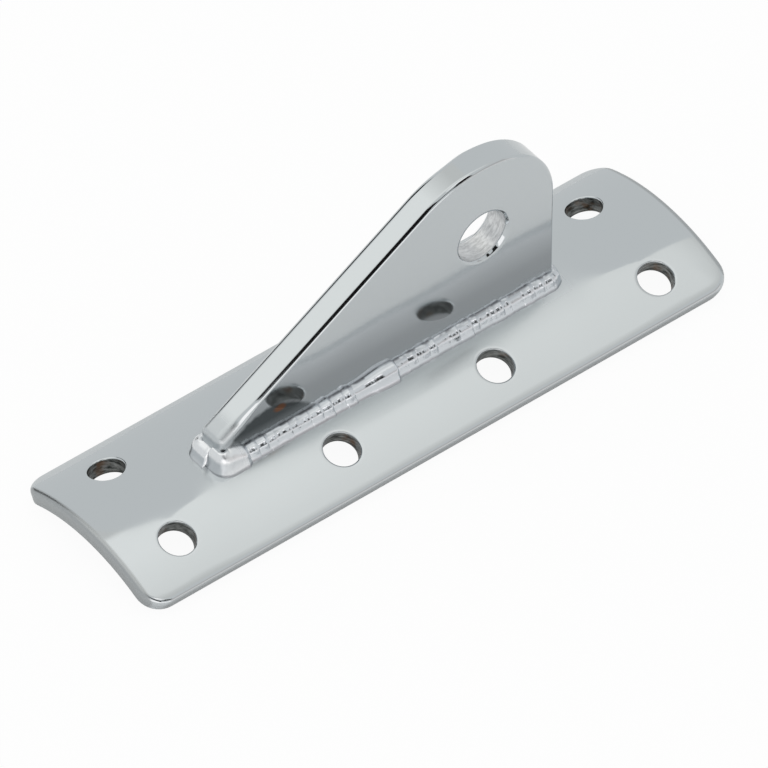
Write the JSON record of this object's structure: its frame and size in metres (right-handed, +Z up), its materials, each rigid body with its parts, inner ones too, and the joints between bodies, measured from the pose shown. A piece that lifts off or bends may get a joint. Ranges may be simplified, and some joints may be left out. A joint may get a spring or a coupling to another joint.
{
  "type": "boom vang bracket",
  "caption": "Rolled saddle plate for a round boom tube, with an upright slope-topped lug welded along its crown and a pin hole in the lug's rounded head.",
  "frame": {"origin": "under the middle of the saddle, level with its two long lower edges", "axes": "+X along the boom from the lug's low toe to its upright heel, +Y across the boom, +Z up"},
  "size_m": [0.125, 0.0368, 0.0437],
  "materials": {
    "polished_steel": "polished stainless steel sheet",
    "weld_steel": "stainless weld bead, electropolished"
  },
  "bodies": {
    "root": {"saddle_plate": "polished_steel", "pin_lug": "polished_steel", "weld_near_toe": "weld_steel", "weld_near_heel": "weld_steel", "weld_far_toe": "weld_steel", "weld_far_heel": "weld_steel"}
  },
  "joints": []
}
